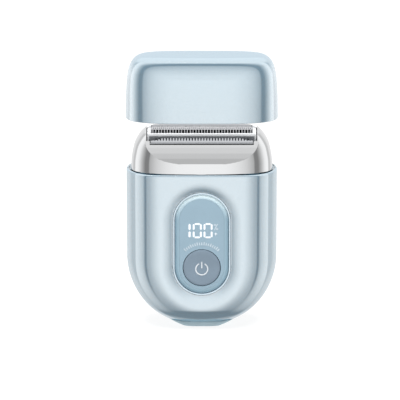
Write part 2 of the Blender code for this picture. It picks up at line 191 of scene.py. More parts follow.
def blank(name, **sockets):
    """A material with one Principled shader set from these sockets, and its tree."""
    made = bpy.data.materials.new(name)
    made.use_nodes = True
    tree = made.node_tree
    shader = tree.nodes["Principled BSDF"]
    for key, value in sockets.items():
        shader.inputs[key.replace("_", " ")].default_value = value
    return made, tree, shader


def pearl_lacquer(name, light, dark, pigment, flop_and_side_sheen=0.0):
    """Pearl lacquer on moulded ABS: mica flake over a blue ground, under a clear, slightly wavy coat.

    Flop is how far the surface turns white and soft where the eye grazes faces that point sideways:
    partly the mica's real flop, partly a painted sheen on the sides.
    """
    made, tree, shader = blank(
        name, Metallic=1.0, Roughness=0.1, Coat_Weight=0.5, Coat_Roughness=0.03, Coat_IOR=1.5
    )
    place = node(tree, "ShaderNodeTexCoord").outputs["Object"]
    # Flake is 0.03 mm; it is drawn at 0.14 mm, or it would not show.
    flake = node(
        tree, "ShaderNodeTexVoronoi", {"Vector": place, "Scale": 1 / (0.14 * MM)}, feature="F1"
    )
    stops = [(0.0, linear(dark)), (1.0, linear(light))]
    tint = node(tree, "ShaderNodeValToRGB", {"Fac": flake.outputs["Color"]}, stops)
    tree.links.new(tint.outputs["Color"], shader.inputs["Base Color"])
    # Orange peel of a sprayed coat: waves 2.5 mm long and well under a micron high.
    peel = node(
        tree, "ShaderNodeTexNoise", {"Vector": place, "Scale": 1 / (2.5 * MM), "Detail": 2.0}
    )
    coat = node(
        tree,
        "ShaderNodeBump",
        {"Height": peel.outputs["Fac"], "Strength": 0.02, "Distance": 0.3 * MM},
    )
    tree.links.new(coat.outputs["Normal"], shader.inputs["Coat Normal"])
    # The blue ground shows through the flake most where there is little to reflect.
    ground = node(
        tree, "ShaderNodeBsdfDiffuse", {"Color": linear(pigment), "Roughness": 0.3}
    )
    layers = node(
        tree, "ShaderNodeMixShader", {0: 0.2, 1: shader.outputs[0], 2: ground.outputs[0]}
    )
    if flop_and_side_sheen:
        mica = node(tree, "ShaderNodeBsdfDiffuse", {"Color": linear("F4F7FA"), "Roughness": 0.3})
        grazing = node(tree, "ShaderNodeLayerWeight", {"Blend": 0.5})
        stops = [(0.22, (0, 0, 0, 1)), (0.42, (flop_and_side_sheen, flop_and_side_sheen, flop_and_side_sheen, 1))]
        share = node(tree, "ShaderNodeValToRGB", {"Fac": grazing.outputs["Facing"]}, stops)
        # Painted sheen: the whitening is kept to faces that point sideways and left off faces that point
        # up, so the sides look lit brighter than the top.
        facing = node(tree, "ShaderNodeNewGeometry").outputs["Normal"]
        upward = node(tree, "ShaderNodeSeparateXYZ", {"Vector": facing}).outputs["Z"]
        side_sheen_mask = node(tree, "ShaderNodeMapRange", {0: upward, 1: 0.25, 2: 0.6, 3: 1.0, 4: 0.0})
        share = node(
            tree,
            "ShaderNodeMath",
            {0: share.outputs["Color"], 1: side_sheen_mask.outputs[0]},
            operation="MULTIPLY",
        )
        layers = node(
            tree,
            "ShaderNodeMixShader",
            {0: share.outputs[0], 1: layers.outputs[0], 2: mica.outputs[0]},
        )
    tree.links.new(layers.outputs[0], tree.nodes["Material Output"].inputs["Surface"])
    return made


def chrome_plate():
    """Bright chrome plated on ABS: a clean mirror, with a breath of haze where fingers touch it."""
    made, tree, shader = blank("chrome_plated_abs", Metallic=1.0, Base_Color=linear("E3E4E5"))
    place = node(tree, "ShaderNodeTexCoord").outputs["Object"]
    # Handling haze in patches about 8 mm across.
    haze = node(
        tree, "ShaderNodeTexNoise", {"Vector": place, "Scale": 1 / (8 * MM), "Detail": 3.0}
    )
    rough = node(
        tree,
        "ShaderNodeMapRange",
        {"Value": haze.outputs["Fac"], "To Min": 0.035, "To Max": 0.075},
    )
    tree.links.new(rough.outputs["Result"], shader.inputs["Roughness"])
    return made


def moulded(name, colour, roughness, grain=0.25, depth=0.02, metallic=0.0, coat=0.0, fleck=0.04):
    """Moulded plastic: a spark-eroded texture of this grain in millimetres, and slight colour drift."""
    made, tree, shader = blank(
        name, Metallic=metallic, Roughness=roughness, Coat_Weight=coat, Coat_Roughness=0.05
    )
    place = node(tree, "ShaderNodeTexCoord").outputs["Object"]
    drift = node(
        tree, "ShaderNodeTexNoise", {"Vector": place, "Scale": 1 / (6 * MM), "Detail": 4.0}
    )
    base = linear(colour)
    low = tuple(c * (1 - fleck) for c in base[:3]) + (1.0,)
    high = tuple(min(1.0, c * (1 + fleck)) for c in base[:3]) + (1.0,)
    stops = [(0.35, low), (0.65, high)]
    tint = node(tree, "ShaderNodeValToRGB", {"Fac": drift.outputs["Fac"]}, stops)
    tree.links.new(tint.outputs["Color"], shader.inputs["Base Color"])
    texture = node(
        tree, "ShaderNodeTexNoise", {"Vector": place, "Scale": 1 / (grain * MM), "Detail": 2.0}
    )
    bump = node(
        tree,
        "ShaderNodeBump",
        {"Height": texture.outputs["Fac"], "Strength": 0.25, "Distance": depth * MM},
    )
    tree.links.new(bump.outputs["Normal"], shader.inputs["Normal"])
    return made


def lens_edge_painted_light(name, painted_dim, painted_bright):
    """The clear lens's rolled edge, with painted light: a painted highlight where it faces up, and
    painted shade, dim, elsewhere.
    """
    made, tree, shader = blank(
        name, Roughness=0.15, Coat_Weight=1.0, Coat_Roughness=0.05, Coat_IOR=1.5
    )
    facing = node(tree, "ShaderNodeNewGeometry").outputs["Normal"]
    upward = node(tree, "ShaderNodeSeparateXYZ", {"Vector": facing}).outputs["Z"]
    # Painted highlight: the colour runs from dim to bright as the edge turns to face up.
    stops = [(0.02, linear(painted_dim)), (0.44, linear(painted_bright))]
    painted_highlight = node(tree, "ShaderNodeValToRGB", {"Fac": upward}, stops)
    tree.links.new(painted_highlight.outputs["Color"], shader.inputs["Base Color"])
    return made


def ground_metal(name, colour, roughness, line=0.08, along=(1.0, 1.0, 12.0)):
    """Ground metal: fine parallel scratches this far apart, drawn out across the given axes."""
    made, tree, shader = blank(name, Metallic=1.0, Base_Color=linear(colour))
    place = node(tree, "ShaderNodeTexCoord").outputs["Object"]
    drawn = node(tree, "ShaderNodeMapping", {"Vector": place, "Scale": along})
    scratch = node(
        tree,
        "ShaderNodeTexNoise",
        {"Vector": drawn.outputs["Vector"], "Scale": 1 / (line * 12 * MM), "Detail": 4.0},
    )
    rough = node(
        tree,
        "ShaderNodeMapRange",
        {"Value": scratch.outputs["Fac"], "To Min": roughness * 0.7, "To Max": roughness * 1.4},
    )
    tree.links.new(rough.outputs["Result"], shader.inputs["Roughness"])
    bump = node(
        tree,
        "ShaderNodeBump",
        {"Height": scratch.outputs["Fac"], "Strength": 0.15, "Distance": 0.01 * MM},
    )
    tree.links.new(bump.outputs["Normal"], shader.inputs["Normal"])
    return made


def perforated_nickel():
    """Electroformed nickel foil: rows of hair holes painted dark as their shade, finer than the eye can
    part at arm's length.
    """
    made, tree, shader = blank("electroformed_nickel_foil", Metallic=1.0, Roughness=0.22)
    place = node(tree, "ShaderNodeTexCoord").outputs["Object"]
    # Holes are 0.5 mm apart; drawn at 0.8 mm so that they show.
    holes = node(
        tree,
        "ShaderNodeTexVoronoi",
        {"Vector": place, "Scale": 1 / (0.8 * MM), "Randomness": 0.15},
        feature="F1",
    )
    # Painted shade: the holes are coloured dark.
    stops = [(0.22, linear("3C3E42")), (0.34, linear("C9CACD"))]
    tint = node(tree, "ShaderNodeValToRGB", {"Fac": holes.outputs["Distance"]}, stops)
    tree.links.new(tint.outputs["Color"], shader.inputs["Base Color"])
    bump = node(
        tree,
        "ShaderNodeBump",
        {"Height": holes.outputs["Distance"], "Strength": 0.5, "Distance": 0.05 * MM},
    )
    tree.links.new(bump.outputs["Normal"], shader.inputs["Normal"])
    return made


def lit_white(name, colour, strength):
    """A lit segment of the display: white light through a diffusing film."""
    made, tree, shader = blank(name, Base_Color=linear("A9AEB2"), Roughness=0.4)
    shader.inputs["Emission Color"].default_value = linear(colour)
    shader.inputs["Emission Strength"].default_value = strength
    place = node(tree, "ShaderNodeTexCoord").outputs["Object"]
    film = node(
        tree, "ShaderNodeTexNoise", {"Vector": place, "Scale": 1 / (1.2 * MM), "Detail": 1.0}
    )
    rough = node(
        tree, "ShaderNodeMapRange", {"Value": film.outputs["Fac"], "To Min": 0.35, "To Max": 0.5}
    )
    tree.links.new(rough.outputs["Result"], shader.inputs["Roughness"])
    return made


# Pale blue with a soft gleam: it shows the room as broad bright and dark bands.
BODY_LACQUER = pearl_lacquer("pearl_lacquer_on_abs", "EBEEEE", "DADFE0", "50A2C8")
# The same lacquer, milkier where the cap's sides turn away from the eye: partly pearl flop, partly a
# painted sheen.
CAP_LACQUER = pearl_lacquer("pearl_lacquer_cap_painted_sheen", "E9ECEC", "D8DEDF", "50A2C8", 0.34)
# A clear grey and white mirror.
CHROME = chrome_plate()
# A thin bright blue-white line round the panel.
BRIGHT_TRIM = moulded("bright_plated_trim", "D3E2EC", 0.2, grain=2.0, depth=0.001, metallic=0.6)
# Even and quiet beside the lacquer above it.
FOOT_ABS = moulded("satin_foot_abs", "B4CAD3", 0.38, metallic=0.1)
# A painted highlight: a bright crescent over the top of the lens.
LENS_EDGE_PAINTED_LIGHT = lens_edge_painted_light("clear_lens_edge_painted_highlight", "8AA7B6", "EAFBFF")
# Smooth slate blue with a sharp, faint shine.
LENS = moulded(
    "tinted_polycarbonate_lens", "87A2B2", 0.16, grain=3.0, depth=0.001, coat=1.0, fleck=0.02
)
# Soft blue-grey paint with a little metal flake, duller than the lens round it.
BUTTON = moulded(
    "satin_painted_button_abs", "7F909F", 0.36, grain=0.12, depth=0.006, metallic=0.35
)
# Flat, chalky lines that don't shine with the surface under them.
PRINT = moulded("pale_pad_print_ink", "D0D6DA", 0.5, grain=0.1, depth=0.004)
FAINT = moulded("faint_pad_print_ink", "C6D2DA", 0.5, grain=0.1, depth=0.004)
# Near black with a dull grain, for what sits in shade.
BLACK = moulded("black_polycarbonate", "24272B", 0.48)
# Painted shadow: a soft grey strip that breaks the bright frame from the comb, standing for the shade
# between them.
GAP_SHADOW = moulded("painted_gap_shadow", "6B6E72", 0.5)
# Plain white with a waxy shine.
WHITE = moulded("white_acetal", "E4E6E6", 0.4)
# Near white with a slight pearl, brighter than the chrome beside it.
SILVER = moulded("pearl_white_frame_abs", "D2D4D6", 0.3, grain=0.1, depth=0.004, metallic=0.1)
# Deep green under a glossy varnish, with the weave of the cloth just felt.
BOARD = moulded("solder_mask_on_glass_epoxy", "1D5A3A", 0.35, grain=0.4, coat=0.4)
# Taut blue film with soft ripples.
SLEEVE = moulded("heat_shrunk_pvc_sleeve", "3A6FA5", 0.3, grain=2.0, depth=0.05, coat=0.3)
# Dark, matt and slightly dusty.
RUBBER = moulded("silicone_rubber", "3A3E44", 0.62, grain=0.15)
# Bright metal with a streaked gleam.
STEEL = ground_metal("ground_stainless_steel", "C3C5C9", 0.2)
# Painted shade: dark metal for the blades, so the foil slots and the gap behind the fixed comb look
# shaded; it catches light only along its teeth.
SHADED_BLADE_STEEL = ground_metal("blade_steel_painted_shade", "4A4C50", 0.34)
# Grey metal with coarser streaks.
ZINC = ground_metal("zinc_plated_can_steel", "B2B6BA", 0.3, line=0.2)
# Silvery and finely speckled with the painted shade of its holes.
NICKEL = perforated_nickel()
# Clean white light, even across each bar.
LIT = lit_white("lit_display_segment", "F8FCFF", 0.6)


# ---------------------------------------------------------------- mesh tools


def as_object(name, builder, look, sharp=40.0):
    """Names a bmesh given in millimetres, with outward normals and smooth shading."""
    bmesh.ops.remove_doubles(builder, verts=builder.verts, dist=1e-4)
    bmesh.ops.recalc_face_normals(builder, faces=builder.faces)
    for vertex in builder.verts:
        vertex.co = vertex.co * MM
    mesh = bpy.data.meshes.new(name)
    builder.to_mesh(mesh)
    builder.free()
    mesh.shade_smooth()
    mesh.set_sharp_from_angle(angle=math.radians(sharp))
    made = bpy.data.objects.new(name, mesh)
    made.data.materials.append(look)
    bpy.context.scene.collection.objects.link(made)
    return made


def skinned(name, rows, look, looped=False, capped=True, sharp=40.0):
    """Skins closed rows of equally many points, joined last to first or capped at both ends."""
    builder = bmesh.new()
    made = [[builder.verts.new(point) for point in row] for row in rows]
    pairs = list(zip(made, made[1:]))
    if looped:
        pairs.append((made[-1], made[0]))
    count = len(rows[0])
    for low, high in pairs:
        for i in range(count):
            j = (i + 1) % count
            builder.faces.new((low[i], low[j], high[j], high[i]))
    if capped and not looped:
        builder.faces.new(made[0])
        builder.faces.new(made[-1])
    return as_object(name, builder, look, sharp)


def worked(target, kind, name, **settings):
    """Adds a modifier and applies it, so that the mesh is final."""
    step = target.modifiers.new(name, kind)
    for key, value in settings.items():
        setattr(step, key, value)
    graph = bpy.context.evaluated_depsgraph_get()
    final = bpy.data.meshes.new_from_object(target.evaluated_get(graph))
    target.modifiers.clear()
    target.data = final


def smooth(target, sharp):
    """Smooth shading that breaks at edges sharper than this."""
    target.data.shade_smooth()
    target.data.set_sharp_from_angle(angle=math.radians(sharp))


def cut_away(target, *cutters):
    """Cuts solids out of the target and removes them."""
    for cutter in cutters:
        worked(target, "BOOLEAN", "cut", operation="DIFFERENCE", solver="EXACT", object=cutter)
        bpy.data.objects.remove(cutter)


def block(name, low, high, look):
    """A block between two corners."""
    builder = bmesh.new()
    bmesh.ops.create_cube(builder, size=1.0)
    size, middle = Vector(high) - Vector(low), (Vector(high) + Vector(low)) / 2
    for vertex in builder.verts:
        vertex.co = Vector(a * b for a, b in zip(vertex.co, size)) + middle
    return as_object(name, builder, look)


def along_x(name, outline, start, end, look):
    """Extrudes a (y, z) outline along X."""
    rows = [[(x, y, z) for y, z in outline] for x in (start, end)]
    return skinned(name, rows, look)


def soften(target, width):
    """Rounds every sharp edge by this many millimetres."""
    worked(target, "BEVEL", "edge", width=width * MM, segments=2, limit_method="ANGLE")


def plan(half_width, front, rear, z, squareness, count=ROUND_POINTS):
    """A superellipse at height z, with points drawn towards its corners."""
    points = []
    for k in range(count):
        turn = 2 * math.pi * k / count
        c, s = math.cos(turn), math.sin(turn)
        x = half_width * math.copysign(abs(c) ** (2 / squareness), c)
        depth = front if s < 0 else rear
        y = depth * math.copysign(abs(s) ** (2 / squareness), s)
        points.append((x, y, z))
    return points


def smooth_rows(rows, steps):
    """Catmull-Rom rows between control rows of equally many numbers."""
    found = []
    for k in range(len(rows) - 1):
        before, here = rows[max(k - 1, 0)], rows[k]
        there, after = rows[k + 1], rows[min(k + 2, len(rows) - 1)]
        for step in range(steps):
            t = step / steps
            row = []
            for p0, p1, p2, p3 in zip(before, here, there, after):
                bend = 2 * p0 - 5 * p1 + 4 * p2 - p3
                curl = -p0 + 3 * p1 - 3 * p2 + p3
                row.append(0.5 * (2 * p1 + (p2 - p0) * t + bend * t * t + curl * t**3))
            found.append(row)
    found.append(list(rows[-1]))
    return found


def capsule(radius, y):
    """The panel's upright capsule outline at this radius, in the plane at y."""
    low, high = PANEL_LOW_Z, PANEL_HIGH_Z
    turns = [math.pi * k / 48 for k in range(49)]
    sides = [low + (high - low) * k / 24 for k in range(1, 24)]
    points = [(radius * math.cos(t), y, high + radius * math.sin(t)) for t in turns]
    points += [(-radius, y, z) for z in reversed(sides)]
    points += [(-radius * math.cos(t), y, low - radius * math.sin(t)) for t in turns]
    points += [(radius, y, z) for z in sides]
    return points


def disc(radius, y, z):
    """A circle round the middle line in the plane at y."""
    turns = [2 * math.pi * k / 96 for k in range(96)]
    return [(radius * math.cos(t), y, z + radius * math.sin(t)) for t in turns]


# ---------------------------------------------------------------- body shells


def shoulder_drops():
    """How far the front has dropped at each tenth of a millimetre out to its edge."""
    drops, fall = [0.0], 0.0
    for k in range(int(EDGE_FROM * 10)):
        out = (k + 0.5) / 10
        for (near, low), (far, high) in zip(SHOULDER, SHOULDER[1:]):
            if near <= out <= far:
                angle = low + (high - low) * (out - near) / (far - near)
        fall += math.tan(math.radians(angle)) / 10
        drops.append(fall)
    return drops


DROPS = shoulder_drops()


def front_profile(reach):
    """Half depth of the front shell at this distance from its middle line or its arc's centre."""
    if reach < EDGE_FROM:
        k = int(reach * 10)
        further = DROPS[min(k + 1, len(DROPS) - 1)] - DROPS[k]
        return HALF_DEPTH - DROPS[k] - further * (reach * 10 - k)
    edge = HALF_DEPTH - DROPS[-1]
    return edge * max(0.0, (HALF_WIDTH - reach) / (HALF_WIDTH - EDGE_FROM)) ** 0.5


def rear_profile(reach):
    """Half depth of the rear shell: a plain superellipse."""
    return HALF_DEPTH * (1 - min(1.0, reach / HALF_WIDTH) ** BODY_ROUND) ** (1 / BODY_ROUND)


def spread(reach, turn):
    """The reach to read a profile at: below, the flat front reaches further out than at the sides."""
    bump = min(1.0, max(0.0, (reach - 12) / 5)) * min(1.0, max(0.0, (29 - reach) / 4))
    return reach - SPREAD * bump * math.sin(turn) ** 2


def taper(z):
    """How far both shells draw in towards the foot."""
    share = min(1.0, max(0.0, (TAPER_FROM_Z - z) / TAPER_RUN))
    return 1 - TAPER_SHARE * share * share


def dish(x, z):
    """Depth of the shallow dish that steepens towards the panel."""
    distance = math.hypot(x, z - min(max(z, PANEL_LOW_Z), PANEL_HIGH_Z))
    share = (distance - WINDOW_RADIUS) / (DISH_OUTER - WINDOW_RADIUS)
    return DISH_DEPTH * (1 - min(1.0, max(0.0, share))) ** 2.5


def shell_block(name, side, reaches, upright, turns, depth, dished=False, inset=0.0):
    """A closed half body: rows run from edge to edge, straight above the arc and bent below it."""
    across = [-r for r in reversed(reaches)] + [r for r in reaches if r > 0]
    shrink = (HALF_WIDTH - inset) / HALF_WIDTH
    builder = bmesh.new()
    rows = []
    for z, turn in [(z, 0.0) for z in upright] + [(ARC_Z, t) for t in turns]:
        row = []
        for out in across:
            reach = abs(out) * shrink
            x = math.copysign(reach * math.cos(turn), out)
            height = z - reach * math.sin(turn)
            deep = depth(spread(abs(out), turn)) * taper(height) * (HALF_DEPTH - inset) / HALF_DEPTH
            if dished:
                deep -= dish(x, height)
            if not inset:
                # The rim's edge is rounded.
                over = min(1.0, max(0.0, height - (RIM_Z - RIM_EDGE)))
                pull = RIM_PULL * (1 - math.sqrt(1 - over * over))
                x *= 1 - pull / HALF_WIDTH
                deep = max(deep * (1 - pull / HALF_DEPTH), SEAM)
            row.append(builder.verts.new((x, side * deep, height)))
        if inset:
            for end, corner in ((0, row[0]), (len(row) + 1, row[-1])):
                row.insert(end, builder.verts.new((corner.co.x, -side * 2.0, corner.co.z)))
        rows.append(row)
    for low, high in zip(rows, rows[1:]):
        for i in range(len(low) - 1):
            builder.faces.new((low[i], low[i + 1], high[i + 1], high[i]))
    builder.faces.new(rows[0])
    builder.faces.new([row[0] for row in rows] + [row[-1] for row in reversed(rows[:-1])])
    return as_object(name, builder, BODY_LACQUER, 50)


def shell_cavity(side, depth, dished, wall=SHELL_WALL, floor_z=None):
    """The hollow of one shell, open at the rim and past the seam; with a floor it is only the rebate."""
    reaches = [0, 6, 11, 13, 15, 17, 19, 21, 23, 25, 26.5, 28, 29, 29.6, 30]
    upright = [ABOVE_RIM_Z - 46 * k / 30 for k in range(30)]
    turns = [math.pi / 2 * k / 24 for k in range(25)]
    if floor_z is not None:
        upright, turns = [ABOVE_RIM_Z, 70, floor_z], []
    return shell_block("hollow", side, reaches, upright, turns, depth, dished, wall)


def body_shells():
    """The two lacquered shells, with the window and the dish in the front one."""
    rim = [RIM_Z - RIM_EDGE + math.sin(math.pi / 2 * k / 7) for k in range(7, 0, -1)]
    upright = rim + [RIM_Z - RIM_EDGE - 35.0 * k / 58 for k in range(58)]
    turns = [math.pi / 2 * k / 80 for k in range(81)]
    reaches = list(range(12)) + [11.7 + 0.4 * k for k in range(26)]
    reaches += [22.0, 22.3, 22.6, 22.9, 23.2, 23.7, 24.3, 25, 25.6, 26.1, 26.25, 26.3, 26.35]
    reaches += [26.35 + 3.65 * math.sin(math.pi / 2 * k / 16) for k in range(1, 17)]
    front = shell_block("front_shell", -1, reaches, upright, turns, front_profile, dished=True)
    plain = [0, 4, 8, 12, 15, 17, 19] + [20 + 10 * math.sin(math.pi / 2 * k / 30) for k in range(31)]
    rear = shell_block("rear_shell", 1, plain, upright, turns, rear_profile)
    window = skinned("window", [capsule(WINDOW_RADIUS, y) for y in (-20, -7)], BODY_LACQUER)
    for shell, side, depth, housing in (
        (front, -1, front_profile, "front_housing"),
        (rear, 1, rear_profile, "rear_housing"),
    ):
        sole_gap = block("sole_gap", (-40, -20, -5), (40, 20, FOOT_TOP_Z + 0.06), BODY_LACQUER)
        cutters = [shell_cavity(side, depth, side < 0), sole_gap]
        cutters.append(shell_cavity(side, depth, False, REBATE_WALL, RIM_Z - REBATE_DEEP))
        if side < 0:
            cutters.append(window)
        cut_away(shell, *cutters)
        smooth(shell, 50)
        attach(shell, "body")
        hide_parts(housing)


def seam_baffle():
    """A dark rib behind the side seam, so that no light shows through from side to side."""
    rib = block("seam_baffle", (-1.5, -0.8, 8.1), (1.5, 0.8, 12.0), BLACK)
    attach(rib, "body")


def foot_outline(z, inset=0.0):
    """The body's outline carried down to height z, as deep as the body's lower edge."""
    half = math.sqrt(HALF_WIDTH**2 - (ARC_Z - max(z, FOOT_UPRIGHT_Z)) ** 2) - inset
    flare = (FOOT_TOP_Z - z) / FOOT_TOP_Z
    deep = FOOT_HALF_DEPTH + FOOT_FLARE * flare - inset
    return plan(half, deep, deep, z, 2.05 + 1.5 * flare)


def socket_outline(z, wider=0.0):
    """The charging socket's flat-sided slot, its points matched to the foot outline by angle."""
    half_depth = SOCKET_HALF_DEPTH + wider
    side = SOCKET_HALF_WIDTH + wider - half_depth
    points = []
    for k in range(ROUND_POINTS):
        turn = 2 * math.pi * k / ROUND_POINTS
        c, s = math.cos(turn), math.sin(turn)
        run = half_depth / max(abs(s), 1e-6)
        if abs(c) * run > side:
            along = abs(c) * side
            run = along + math.sqrt(max(0.0, along * along - side * side + half_depth**2))
        points.append((c * run, s * run, z))
    return points


def foot_sole():
    """The satin sole with its softened lower edge and the socket's mouth."""
    rows = [foot_outline(0.0, 0.55), foot_outline(0.06, 0.3), foot_outline(0.25, 0.1)]
    rows += [foot_outline(z) for z in (0.6, 1.0, 1.5, 1.85)]
    rows += [foot_outline(FOOT_TOP_Z, 0.15), plan(7.2, 3.4, 3.4, FOOT_TOP_Z, 3.0)]
    rows += [plan(7.0, 3.2, 3.2, 4.5, 3.0), socket_outline(4.5)]
    rows += [socket_outline(0.3), socket_outline(0.05, 0.15), socket_outline(0.0, 0.3)]
    sole = skinned("foot_sole", rows, FOOT_ABS, looped=True)
    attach(sole, "body")
    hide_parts("base_foot")


# ---------------------------------------------------------------- panel


def panel():
    """Bezel, lens with a rolled edge, push button and its mark."""
    # Each band below is a section: its radii round the panel's centres, and its depths.
    band = [(BEZEL_OUTER, -11.25), (BEZEL_OUTER, -13.6), (11.4, -13.72), (11.3, -13.8)]
    band += [(10.9, -13.8), (10.82, -13.74), (BEZEL_INNER, -13.62), (BEZEL_INNER, -11.25)]
    bezel = skinned("bezel_trim", [capsule(r, y) for r, y in band], BRIGHT_TRIM, looped=True)
    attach(bezel, "body")
    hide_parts("bezel_ring")

    rolled = [(10.72, PANEL_BACK_Y), (10.72, -12.8), (10.6, -13.0), (10.35, -13.2)]
    rolled += [(10.0, -13.38), (9.6, -13.5), (9.2, -13.58), (8.94, -13.6), (8.94, PANEL_BACK_Y)]
    rows = [capsule(r, y) for r, y in rolled]
    # The rolled edge carries a painted highlight along its top.
    edge = skinned("lens_edge", rows, LENS_EDGE_PAINTED_LIGHT, looped=True, sharp=60)
    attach(edge, "body")
    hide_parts("display_lens")

    rows = [capsule(8.9, PANEL_BACK_Y), capsule(8.9, -13.61), capsule(8.6, -13.64)]
    flat = capsule(8.22, LENS_Y)
    hole = []
    for x, _, z in flat:
        away = math.atan2(z - PANEL_LOW_Z, x)
        x, rise = BUTTON_HOLE * math.cos(away), BUTTON_HOLE * math.sin(away)
        hole.append((x, -13.7, PANEL_LOW_Z + rise))
    for share in (0.25, 0.5, 0.75, 0.92, 1.0):
        rows.append([tuple(a + (b - a) * share for a, b in zip(p, q)) for p, q in zip(flat, hole)])
    # The hole's wall, a little narrower than its rounded mouth.
    for y in (-13.6, PANEL_BACK_Y):
        rows.append([(x * 0.993, y, PANEL_LOW_Z + (z - PANEL_LOW_Z) * 0.993) for x, _, z in hole])
    lens = skinned("lens_window", rows, LENS, looped=True, sharp=60)
    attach(lens, "body")
    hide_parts("display_lens")

    stem = [(1.8, -10.1), (1.8, PANEL_BACK_Y), (7.3, PANEL_BACK_Y)]
    dished = [(BUTTON_RADIUS, -11.5), (BUTTON_RADIUS, -13.45), (7.36, -13.64), (7.24, -13.78)]
    dished += [(7.0, -13.85), (6.0, -13.83), (4.0, -13.74), (1.5, -13.7)]
    pad = skinned("button_pad", [disc(r, y, PANEL_LOW_Z) for r, y in stem + dished], BUTTON)
    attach(pad, "button")
    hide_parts("power_button")
    button_mark()


def stroke(name, path, width, look, body, depth, thick=0.05):
    """A printed or lit line on the panel: a round-ended ribbon along (x, z) points."""
    left, right = [], []
    for k, (x, z) in enumerate(path):
        back = path[max(k - 1, 0)]
        ahead = path[min(k + 1, len(path) - 1)]
        run = Vector((ahead[0] - back[0], ahead[1] - back[1])).normalized()
        left.append((x - run.y * width / 2, z + run.x * width / 2))
        right.append((x + run.y * width / 2, z - run.x * width / 2))
    ends = []
    for (x, z), (bx, bz) in ((path[-1], path[-2]), (path[0], path[1])):
        heading = math.atan2(z - bz, x - bx)
        turns = [heading + math.pi / 2 - math.pi * k / 8 for k in range(1, 8)]
        ends.append([(x + width / 2 * math.cos(t), z + width / 2 * math.sin(t)) for t in turns])
    outline = left + ends[0] + right[::-1] + ends[1]
    rows = [[(x, y, z) for x, z in outline] for y in (depth + thick, depth)]
    made = skinned(name, rows, look)
    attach(made, body)
    return made


def button_mark():
    """The common on-off mark: a broken ring and a bar."""
    middle_z = PANEL_LOW_Z - 0.5
    radius, width, face, thick, half_gap = 2.38, 0.46, -13.86, 0.16, 32
    turns = [math.radians(90 + half_gap + (360 - 2 * half_gap) * k / 40) for k in range(41)]
    ring = [(radius * math.cos(t), middle_z + radius * math.sin(t)) for t in turns]
    bar = [(0, middle_z + 0.45), (0, middle_z + 2.75)]
    stroke("mark_ring", ring, width, PRINT, "button", face, thick)
    stroke("mark_bar", bar, width, PRINT, "button", face, thick)


def segment(name, x, z, long_side, wide, upright):
    """One lit bar of a figure, with pointed ends."""
    half, thick = long_side / 2, wide / 2
    outline = [(-half, 0), (-half + thick * 0.8, thick), (half - thick * 0.8, thick)]
    outline += [(half, 0), (half - thick * 0.8, -thick), (-half + thick * 0.8, -thick)]
    if upright:
        outline = [(-b, a) for a, b in outline]
    rows = [[(x + a, y, z + b) for a, b in outline] for y in (LENS_Y, LENS_Y - 0.06)]
    made = skinned(name, rows, LIT)
    soften(made, 0.12)
    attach(made, "body")


def figures():
    """A full charge in plain seven-bar figures, with small marks beside it."""
    middle = (FIGURE_TOP_Z + FIGURE_BOTTOM_Z) / 2
    tall = (FIGURE_TOP_Z - FIGURE_BOTTOM_Z) / 2
    halves = (("upper", middle + tall / 2), ("lower", middle - tall / 2))
    for part, z in halves:
        segment(f"figure_one_{part}", -4.83, z, tall - 0.45, 0.9, True)
    for name, x in (("two", -1.78), ("three", 2.5)):
        for part, z in halves:
            segment(f"figure_{name}_left_{part}", x - 1.42, z, tall - 0.55, 0.78, True)
            segment(f"figure_{name}_right_{part}", x + 1.42, z, tall - 0.55, 0.78, True)
        segment(f"figure_{name}_top", x, FIGURE_TOP_Z - 0.3, 2.3, 0.74, False)
        segment(f"figure_{name}_bottom", x, FIGURE_BOTTOM_Z + 0.3, 2.3, 0.74, False)
    # A faint share mark and a four-pointed spark at the right of the figures.
    depth = -13.7
    stroke("share_mark_slash", [(5.1, 42.4), (6.2, 44.6)], 0.28, FAINT, "body", depth)
    for name, x, z in (("high", 5.2, 44.3), ("low", 6.1, 42.7)):
        turns = [2 * math.pi * k / 24 for k in range(24)]
        ring = [(x + 0.33 * math.cos(t), z + 0.33 * math.sin(t)) for t in turns]
        stroke(f"share_mark_{name}", ring, 0.22, FAINT, "body", depth)
    spark = []
    for k in range(8):
        turn = math.pi / 4 * k
        reach = 0.85 if k % 2 == 0 else 0.2
        spark.append((5.55 + reach * math.cos(turn), 40.65 + reach * math.sin(turn)))
    rows = [[(x, y, z) for x, z in spark] for y in (LENS_Y, LENS_Y - 0.06)]
    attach(skinned("spark_mark", rows, LIT), "body")


def arc_of_ticks():
    """A plain arc of small ticks over the button, where a line of small print would go."""
    count = 17
    for k in range(count):
        turn = math.radians(132 - 84 * k / (count - 1))
        c, s = math.cos(turn), math.sin(turn)
        path = [(r * c, PANEL_LOW_Z + r * s) for r in (9.35, 10.25 if k % 3 else 10.5)]
        stroke(f"arc_tick_{k:02d}", path, 0.34, FAINT, "body", -13.74)


# ---------------------------------------------------------------- head


